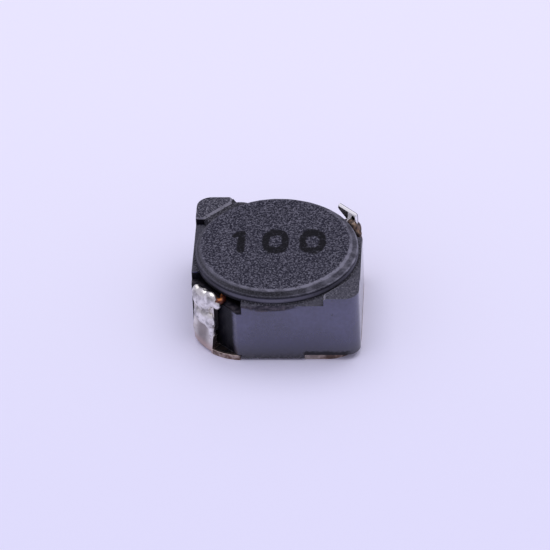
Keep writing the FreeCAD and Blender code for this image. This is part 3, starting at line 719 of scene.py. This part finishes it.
def enamel_wire():
    """Copper wire under clear enamel: dark red-brown, and painted lit orange where it leaves the left
    slot.
    """
    paint = Paint("enamel_copper_wire")
    brown, orange = (0.075, 0.014, 0.007), (0.50, 0.15, 0.025)
    patch = paint.noise(6.0, 3.0)
    lit = paint.x.near(-1.84, 0.03, 0.13) * patch.fall(0.45, 0.62)
    colour = paint.blend(lit, brown, orange)
    return paint.close(paint.shader(colour, 0.32 + patch * 0.15, patch, 0.006, Metallic=0.55,
                                    Coat_Weight=0.3))


def filled_epoxy():
    """Black filled epoxy: dull, with fine grain and small lumps."""
    paint = Paint("epoxy_black_filled")
    black, grey = (0.016, 0.016, 0.022), (0.19, 0.185, 0.22)
    light, pits = ground_grain(paint)
    wet = paint.noise(1.6, 2.0, shift=6.0)
    colour = paint.blend(light * 0.6, black, grey)
    return paint.close(paint.shader(colour, 0.5 + wet * 0.3, light - pits, 0.014, IOR=DULL_IOR))


# Drum core

def grind_off_centre(spots):
    """Move the rings of the drum's top, so that the edge of its ground flat is a circle off centre.

    With m the circle's middle, R its radius and u a direction from Z, the edge lies at
    u.m + sqrt(R^2 - |m|^2 + (u.m)^2). Rings between the flat and the lip are moved in proportion.
    """
    radius = np.linalg.norm(spots[:, :2], axis=1)
    top = (spots[:, 2] > FLANGE_EDGE_TOP - 0.01) & (radius > 0.1)
    radius = radius[top]
    toward = spots[top, :2] @ np.array(GROUND_MIDDLE) / radius
    edge = toward + np.sqrt(GROUND_RADIUS ** 2 - np.dot(GROUND_MIDDLE, GROUND_MIDDLE) + toward ** 2)
    lip = FLANGE_RADIUS - LIP_ROUND
    beyond = np.maximum((radius - FLAT_RADIUS) / (lip - FLAT_RADIUS), 0)
    moved = np.minimum(radius / FLAT_RADIUS, 1) * edge + np.minimum(beyond, 1) * (lip - edge)
    spots[top, :2] *= (np.where(beyond < 1, moved, radius) / radius)[:, None]


def bite_rim(spots):
    """Bite and wave the rim of the drum's top: points go in and down by a share of the lumps."""
    shrink, sink = 0.010, 0.018
    radius = np.linalg.norm(spots[:, :2], axis=1)
    rim = ramp(radius, 2.60, 2.70) * ramp(spots[:, 2], 2.40, 2.50)
    bite = np.clip(lumps(spots[:, :2], 2.6, 5) - 0.55, 0, 0.6) + 0.18 * lumps(spots[:, :2], 9.0, 6)
    bite = rim * np.clip(bite, -0.2, 1)
    spots[:, :2] *= (1 - shrink * bite)[:, None]
    spots[:, 2] -= sink * bite


def drum_core(finish):
    """Drum core turned from one profile, its flat ground off centre and its rim bitten."""
    profile = [
        (0.0, LOWER_BOTTOM, 0.0), (LOWER_RADIUS, LOWER_BOTTOM, 0.05), (LOWER_RADIUS, LOWER_TOP, 0.05),
        (WAIST_RADIUS, LOWER_TOP, 0.06), (WAIST_RADIUS, SEAT, 0.06), (FLANGE_RADIUS, SEAT, 0.03),
        (FLANGE_RADIUS, FLANGE_EDGE_TOP, LIP_ROUND), (FLAT_RADIUS + 0.05, FLAT_TOP - 0.034, 0.02),
        (FLAT_RADIUS, FLAT_TOP, 0.03), (0.0, FLAT_TOP, 0.0)]
    core = turned("drum_core_turned", rounded(profile, 7, closed=False), 288)
    spots = rows_of(core.data, "co")
    grind_off_centre(spots)
    bite_rim(spots)
    core.data.vertices.foreach_set("co", spots.ravel())
    finish_piece(core, [finish], "drum_core", 40.0)


# Shield core

BEYOND, ABOVE, BELOW = HALF + 0.5, 4, -1


def between_posts():
    """What is pressed away between the posts down to the ledges, wider above for their chamfers."""
    width, top = 0.14, CHAMFER_START + 0.13
    levels = [(LEDGE, 0, 0, 0), (CHAMFER_START, 0, 0, 0), (top, width, width / 2, width),
              (ABOVE, width, width / 2, width)]
    sections = []
    for height, end, shoulder, diagonal in levels:
        far, near = POST_FAR + end, POST_FAR + shoulder
        total = POST_NEAR + POST_FAR + diagonal / SQUARE
        corners = [(-far, BEYOND), (BEYOND, BEYOND), (BEYOND, -near),
                   (total - near, -near), (far, far - total)]
        sections.append([spot + (height,) for spot in corners + half_turn(corners)])
    return loft("between_posts", np.array(sections))


def broken_chip():
    """Shallow chip in the front wall under the ledge: a ragged outline carried in."""
    outline = rounded([(-0.59, 2.9, 0), (-0.60, 2.27, 0.03), (-0.50, 2.19, 0.05), (-0.40, 2.12, 0.04),
                       (-0.25, 2.14, 0.05), (-0.12, 2.09, 0.05), (0.06, 2.11, 0.06), (0.20, 2.10, 0.04),
                       (0.29, 2.19, 0.05), (0.35, 2.24, 0.03), (0.37, 2.9, 0)], 5)
    x, z = outline[:, 0], outline[:, 1]
    depths_and_lifts = ((-0.5, 0.0), (-0.001, 0.0), (0.012, 0.02), (0.03, 0.07))
    return loft("chip", np.stack([np.stack([x, np.full(len(x), -HALF + depth), z + lift], -1)
                                  for depth, lift in depths_and_lifts]))


def shield_core(finishes):
    """Ring core: a rounded square outline carried up, with its bore, seat, ledges and notches cut."""
    side = [(-HALF + CLIP_LEG, -HALF, 0.08), (HALF, -HALF, 0.5), (HALF, HALF - CLIP_LEG, 0.08)]
    ring = plate("shield_core_pressed", rounded(side + half_turn(side), 14), RISE, POST_TOP)
    turn = np.linspace(0, WHOLE_TURN, 240, endpoint=False)
    circle = np.stack([np.cos(turn), np.sin(turn)], 1)
    notch = np.array([(-BEYOND, -BEYOND), (-NOTCH_X, -BEYOND), (-NOTCH_X, -NOTCH_Y), (-BEYOND, -NOTCH_Y)])
    recess = np.array([(-1.16, -BEYOND), (-0.94, BEYOND), (-BEYOND, BEYOND), (-BEYOND, -BEYOND)])
    recess_top = SHEET + 0.03
    combine(ring, "DIFFERENCE", [
        plate("bore", circle * BORE_RADIUS, BELOW, ABOVE), between_posts(),
        plate("seat", circle * SEAT_RADIUS, SEAT, ABOVE), plate("notch_left", notch, NOTCH_FLOOR, ABOVE),
        plate("notch_right", -notch, NOTCH_FLOOR, ABOVE), plate("recess_left", recess, BELOW, recess_top),
        plate("recess_right", -recess, BELOW, recess_top), broken_chip()])
    soften(ring, EDGE_STEPS[-1])
    finish_piece(ring, finishes, "shield_core", 60.0)


# Terminals

def foot_outline():
    """Plate of the left terminal in plan: its inner edge, then a back and a front arc."""
    inside = 0.001
    back_arc = np.radians(np.linspace(90, 180, 18))[:, None]
    foot_arc = np.radians(np.linspace(180, 266.9, 30))[:, None]
    back = np.hstack([-1.75 + 1.1 * np.cos(back_arc), 1.69 + 1.1 * np.sin(back_arc)])
    middle, radius = -FOOT_MIDDLE - inside, FOOT_RADIUS - inside
    foot = np.hstack([middle + radius * np.cos(foot_arc), middle + radius * np.sin(foot_arc)])
    return np.vstack([[(-0.97, 2.79)], back, foot])


def foot_plate(name, side):
    """A terminal's plate: its outline carried up, inset by a quarter round near both faces."""
    outline = foot_outline() * -side
    heights = np.append(EDGE_STEPS, SHEET - EDGE_STEPS[::-1])
    depths = np.append(EDGE_STEPS[::-1], EDGE_STEPS)
    return loft(name, np.array([np.insert(inset(outline, depth), 2, height, 1)
                                for height, depth in zip(heights, depths)]))


def folded_ear(side):
    """A terminal's ear: the folded sheet's section (out, up) carried along the clipped corner.

    The bend follows the foot's arc: at s from the corner's middle it lies sqrt(R^2 - s^2) from the
    arc's middle. Both ends are inset by a quarter round.
    """
    steps, past_foot = 25, 0.02
    between = np.linspace(EAR_START + 0.05, EAR_END - 0.05, steps)
    along = np.concatenate([EAR_START + EDGE_STEPS, between, EAR_END - EDGE_STEPS[::-1]])
    depths = np.concatenate([EDGE_STEPS[::-1], np.zeros(steps), EDGE_STEPS])
    reach = np.sqrt(FOOT_RADIUS ** 2 - (along - CLIP_LEG * SQUARE) ** 2) - FOOT_TO_CLIP + past_foot
    sections = np.stack([inset(rounded([
        (-0.4, 0, 0), (out, 0, 0.14), (0.33, 0.62, 0.3), (0.23, 1.15, 0.3),
        (0.235, EAR_TOP, 0.06), (0.03, EAR_TOP, 0.06), (0.03, 1.15, 0.1), (0.13, 0.62, 0.1),
        (out - SHEET, SHEET, 0.04), (-0.4, SHEET, 0)], 9), depth)
        for out, depth in zip(reach, depths)])
    return loft("ear", clip_place(along[:, None], sections[..., 0], sections[..., 1], side))


def standing_prong():
    """The right ear's prong: layers from its rolled front to its back, with its window and fillet.

    Each layer's outline is the full one moved towards the smaller front face by a share.
    """
    start, end, root = 0.38, PRONG_STEM_END, 1.84
    outline = rounded([(start, root, 0.02), (end, root, 0.02), (end, 2.36, 0.14), (1.29, 2.66, 0.06),
                       (1.29, 2.80, 0.07), (start, 2.79, 0.09)], 7)
    face = rounded([(start + 0.02, root + 0.02, 0.02), (end - 0.02, root + 0.02, 0.02),
                    (end - 0.02, 2.34, 0.14), (1.25, 2.64, 0.05), (1.24, 2.75, 0.05),
                    (0.41, 2.735, 0.08)], 7)
    layers = [(0.045, 1.0), (0.065, 0.7), (0.095, 0.15), (0.11, 0.0), (0.155, 0.0), (0.17, 0.35)]
    sections = []
    for out, share in layers:
        between = outline + (face - outline) * share
        sections.append(clip_place(between[:, 0], out, between[:, 1], 1))
    prong = loft("prong", np.array(sections))
    window = rounded([(WINDOW_NEAR, WINDOW_LOW, 0.04), (WINDOW_FAR, WINDOW_LOW, 0.04),
                      (WINDOW_FAR, WINDOW_HIGH, 0.04), (WINDOW_NEAR, WINDOW_HIGH, 0.04)], 5)
    combine(prong, "DIFFERENCE", [clip_block("window", window, -0.2, 0.12, 1, True)])
    heart = 0.12
    fillet = rounded([(heart, 2.66, 0), (0.05, 2.66, 0.02), (-0.02, 2.48, 0.1), (-0.09, 2.38, 0.03),
                      (-0.09, 2.28, 0.03), (heart, 2.28, 0)], 5)
    along = np.array([0.60, 0.62, 0.65, 0.71, 0.745, 0.765])[:, None]
    swell = np.array([0.6, 0.85, 1.0, 1.0, 0.85, 0.6])[:, None]
    outward = heart + (fillet[None, :, 0] - heart) * swell
    combine(prong, "UNION", [loft("fillet", clip_place(along, outward, fillet[None, :, 1], 1))])
    return prong


def ear_terminal(name, side, finish, node):
    """Terminal: a plate and an ear folded up the clipped corner, and on the right a prong on the ear."""
    sheet = foot_plate(name, side)
    near, far, inner = EAR_START + 0.03, EAR_END - 0.03, 0.02
    under = rounded([(near, inner, 0), (far, inner, 0), (far, 1, 0), (near, 1, 0)])
    bite = rounded([(1.24, 0.70, 0.05), (1.28, 0.86, 0.05), (1.50, 0.90, 0), (1.50, 0.66, 0)], 5)
    combine(sheet, "DIFFERENCE", [clip_block("under_ear", under, -0.5, 0.5, side, False)])
    combine(sheet, "UNION", [folded_ear(side)])
    combine(sheet, "DIFFERENCE", [clip_block("bite", bite, -0.5, 0.8, side, True)])
    if side > 0:
        combine(sheet, "UNION", [standing_prong()])
    even_shading(sheet)
    finish_piece(sheet, [finish], node, 50.0)


# Winding

def led_out(route):
    """A wire end along a route with rounded corners, its points evenly spaced."""
    path = rounded(route, 14, closed=False)
    reach = np.insert(np.cumsum(np.linalg.norm(np.diff(path, axis=0), axis=1)), 0, 0)
    even = np.linspace(0, reach[-1], 60)
    path = np.stack([np.interp(even, reach, path[:, i]) for i in range(3)], 1)
    return tube("lead", path, WIRE_RADIUS, 24)


def winding(finish):
    """Coil as one wire on a helix over an inner sleeve, and its two ends led out of the slots."""
    turns, coil_radius, bottom, height = 6.0, 1.71, 0.80, 1.32
    t = np.linspace(0, 1, int(turns * 72))
    angle = math.pi + (t - 1) * turns * WHOLE_TURN
    helix = np.stack([coil_radius * np.cos(angle), coil_radius * np.sin(angle), bottom + height * t], 1)
    coil = tube("winding_enamelled", helix, WIRE_RADIUS * 0.99, 12)
    sleeve = rounded([(1.22, 0.70, 0.05), (1.68, 0.70, 0.05), (1.68, 2.22, 0.05), (1.22, 2.22, 0.05)], 4)
    angles = np.linspace(0, WHOLE_TURN, 96, endpoint=False)[:, None]
    rings = np.stack([sleeve[:, 0] * np.cos(angles), sleeve[:, 0] * np.sin(angles),
                      np.broadcast_to(sleeve[:, 1], (96, len(sleeve)))], -1)
    top = bottom + height
    left_end = clip_place(1.1, 0.176, 2.09, -1)
    right_end = clip_place(0.44, -0.057, 2.49, 1)
    left = led_out([(-coil_radius, 0.4, top, 0), (-coil_radius, -2.51, top, 0.18), (*left_end, 0)])
    right = led_out([(-0.1, 1.755, top, 0), (2.70, 1.25, top, 0.18), (*right_end, 0)])
    gather(coil, [loft("sleeve", rings, around=True), left, right])
    finish_piece(coil, [finish], "winding", 60.0)


# Solder

def solder(name, side, rounds, finish, node, seed):
    """Solder on an ear: ellipsoids joined, evened out, then pushed in and out by smooth lumps."""
    balls = []
    for middle, sizes in rounds:
        centre = clip_place(middle[0], middle[1], NOTCH_FLOOR + middle[2], side)
        axes = [side * np.array([-SQUARE, SQUARE, 0]) * sizes[0],
                side * np.array([SQUARE, SQUARE, 0]) * sizes[1], np.array([0, 0, 1.0]) * sizes[2]]
        balls.append(ball("lump", centre, axes))
    mass, others = balls[0], balls[1:]
    mass.name = name
    gather(mass, others)
    fuse = mass.modifiers.new("fuse", "REMESH")
    fuse.mode, fuse.voxel_size = "VOXEL", 0.02
    even = mass.modifiers.new("even", "SMOOTH")
    even.factor, even.iterations = 0.6, 6
    settle(mass)
    spots, normals = rows_of(mass.data, "co"), rows_of(mass.data, "normal")
    push = 0.022 * lumps(spots, 4.0, seed) + 0.006 * lumps(spots, 10.0, seed + 1)
    dents = -0.05 * np.clip(lumps(spots, 5.0, seed + 2) - 0.55, 0, 1)
    spots += normals * (np.clip(push, -0.04, 0.03) + dents)[:, None]
    mass.data.vertices.foreach_set("co", spots.ravel())
    finish_piece(mass, [finish], node, 180.0)


# Glue

def glue(name, start, end, heap, finish, node):
    """Glue round the flange: a section from the flange's side down into its seat, carried round.

    Between the flange and the outer boundary the top sags as a cubic from each side. With heap 1 it
    is heaped beside the left post, where it reaches the post, the ledge's step or the back wall.
    """
    sunk, post_middle, stub_end = 0.004, 135, 120.4
    angle = np.radians(np.linspace(start, end, int(abs(end - start) * 1.6)))
    degrees = np.degrees(angle)
    ragged = lumps(np.stack([np.cos(angle), np.sin(angle)], 1) * 3, 2.0, 11 + len(name))
    heaped = heap * ramp(degrees, 105, 117) * ramp(150 - degrees, 0, 5)
    heaped = heaped * heaped * (3 - 2 * heaped)
    before_middle = degrees <= post_middle
    to_post = ((POST_NEAR + POST_FAR) * SQUARE
               / np.maximum(np.cos(angle - np.radians(post_middle)), 0.5))
    to_stub = np.where(before_middle, POST_FAR / np.maximum(-np.cos(angle), 0.05), 9.0)
    to_back = (HALF - 0.03) / np.maximum(np.sin(angle), 0.3)
    wide = np.minimum(np.maximum(to_post, np.where(before_middle, to_stub, 0)), to_back)
    at_stub = (degrees > stub_end) & (degrees < stub_end + 2.8)
    wide = np.where(at_stub, np.minimum(wide, to_stub), wide)
    narrow = SEAT_RADIUS + 0.02 + 0.006 * ragged
    outer = narrow + (wide + sunk - narrow) * np.clip(heaped * 1.5, 0, 1)
    inner = FLANGE_RADIUS - sunk
    inner_top = LEDGE + 0.035 + 0.012 * ragged + heaped * 0.22
    middle_top = LEDGE + 0.012 + heaped * (0.21 + 0.015 * ragged)
    beside_post = (degrees > 119.5) & (degrees < 147.5)
    outer_top = LEDGE + sunk + heaped * np.where(beside_post, 0.232, 0.09)
    t = np.linspace(0, 1, 14)[:, None]
    top = middle_top + (inner_top - middle_top) * (1 - t) ** 3 + (outer_top - middle_top) * t ** 3
    across = inner + (outer - inner) * t
    below = [(outer, LEDGE), (SEAT_RADIUS, LEDGE), (SEAT_RADIUS, SEAT), (inner, SEAT)]
    radius = np.vstack([across] + [np.broadcast_to(r, (1, len(angle))) for r, _ in below]).T
    height = np.vstack([top] + [np.full((1, len(angle)), z) for _, z in below]).T
    sections = np.stack([radius * np.cos(angle)[:, None], radius * np.sin(angle)[:, None], height], -1)
    finish_piece(loft(name, sections), [finish], node, 60.0)


# Stage

def floor_and_light():
    """Pale floor, one broad lamp above and behind, and an even world. Places are in metres."""
    bpy.ops.mesh.primitive_grid_add(x_subdivisions=2, y_subdivisions=2, size=3.0)
    floor = bpy.context.object
    floor.name = "floor"
    paint = Paint("floor_pale")
    colour = paint.blend(paint.y.rise(-18.0, 20.0), (0.81, 0.80, 0.975), (0.89, 0.875, 1.0))
    floor.data.materials.append(paint.close(paint.shader(colour, 0.9, IOR=1.2)))
    lamp = bpy.data.lights.new("broad_lamp", "AREA")
    lamp.shape, lamp.size, lamp.energy = "SQUARE", 0.6, 1.3
    stand = bpy.data.objects.new("broad_lamp", lamp)
    aside, high = 0.06, 0.46
    lean = math.atan2(aside, high)
    stand.location = (aside, aside, high)
    stand.rotation_euler = (-lean, lean, 0)
    bpy.context.scene.collection.objects.link(stand)
    world = bpy.data.worlds.new("even_world")
    bpy.context.scene.world = world
    world.use_nodes = True
    backdrop = world.node_tree.nodes["Background"]
    backdrop.inputs["Color"].default_value = (0.83, 0.80, 0.98, 1)
    backdrop.inputs["Strength"].default_value = 0.64


def aim_camera():
    """Camera at the photograph's angle: heading, tilt and roll in radians, 150 mm from the part."""
    heading, tilt, roll, distance = -0.0727, 0.6562, -0.0462, 0.150
    aim = np.array([0, 0, 0.0013])
    forward = np.array([math.sin(heading) * math.cos(tilt), math.cos(heading) * math.cos(tilt),
                        -math.sin(tilt)])
    right = np.array([math.cos(heading), -math.sin(heading), 0])
    up = np.cross(right, forward)
    axes = np.eye(4)
    axes[:3, 0] = math.cos(roll) * right + math.sin(roll) * up
    axes[:3, 1] = -math.sin(roll) * right + math.cos(roll) * up
    axes[:3, 2] = -forward
    axes[:3, 3] = aim - forward * distance
    data = bpy.data.cameras.new("camera")
    data.sensor_width, data.lens = 36.0, 289.1
    data.shift_x, data.shift_y = -0.0060, 0.0055
    data.clip_start, data.clip_end = 0.001, 10.0
    camera = bpy.data.objects.new("camera", data)
    camera.matrix_world = Matrix(axes.tolist())
    bpy.context.scene.collection.objects.link(camera)
    bpy.context.scene.camera = camera


# Solder lumps: the place along the clip, out and up from the notch floor, then half sizes.
LEFT_LUMPS = [
    ((0.80, 0.16, -0.08), (0.50, 0.26, 0.42)), ((0.47, 0.16, 0.05), (0.17, 0.20, 0.30)),
    ((1.16, 0.15, 0.06), (0.28, 0.21, 0.32)), ((0.86, 0.22, -0.72), (0.48, 0.22, 0.32)),
    ((1.15, 0.24, -0.76), (0.25, 0.17, 0.34)), ((1.25, 0.24, -1.20), (0.11, 0.13, 0.36)),
    ((1.42, 0.12, -0.02), (0.17, 0.14, 0.19))]
RIGHT_LUMPS = [
    ((0.76, 0.16, -0.12), (0.50, 0.22, 0.40)), ((0.84, 0.20, -0.66), (0.44, 0.20, 0.28)),
    ((0.50, 0.10, 0.12), (0.24, 0.22, 0.32)), ((0.47, -0.06, 0.34), (0.22, 0.17, 0.27)),
    ((0.34, -0.08, 0.27), (0.20, 0.18, 0.29)), ((0.22, -0.08, 0.18), (0.20, 0.17, 0.20)),
    ((0.42, 0.20, -0.42), (0.14, 0.17, 0.30))]

# Glue stretches, from and to an angle in degrees about Z.
GLUE_BACK, GLUE_FRONT = (66.9, 199.8), (246.9, 379.8)

aim_camera()
tin, epoxy = tinned_sheet(), filled_epoxy()
drum_core(ground_ferrite())
shield_core([pressed_ferrite("ferrite_ring_pressed", 0.0), pressed_ferrite("ferrite_ring_worn", 0.35)])
ear_terminal("terminal_left_folded", -1, tin, "terminal_left")
ear_terminal("terminal_right_folded", 1, tin, "terminal_right")
winding(enamel_wire())
solder("solder_left_lumps", -1, LEFT_LUMPS, bright_solder("solder_bright", 0.0), "solder_left", 21)
solder("solder_right_lumps", 1, RIGHT_LUMPS, bright_solder("solder_browned", 1.0), "solder_right", 31)
glue("glue_back", *GLUE_BACK, 1.0, epoxy, "flange_glue_back")
glue("glue_front", *GLUE_FRONT, 0.0, epoxy, "flange_glue_front")
for film in ("bond_film_left", "bond_film_right"):
    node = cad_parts[film]
    node.data.materials.clear()
    node.data.materials.append(epoxy)
floor_and_light()
bpy.context.scene.view_settings.view_transform = "Standard"
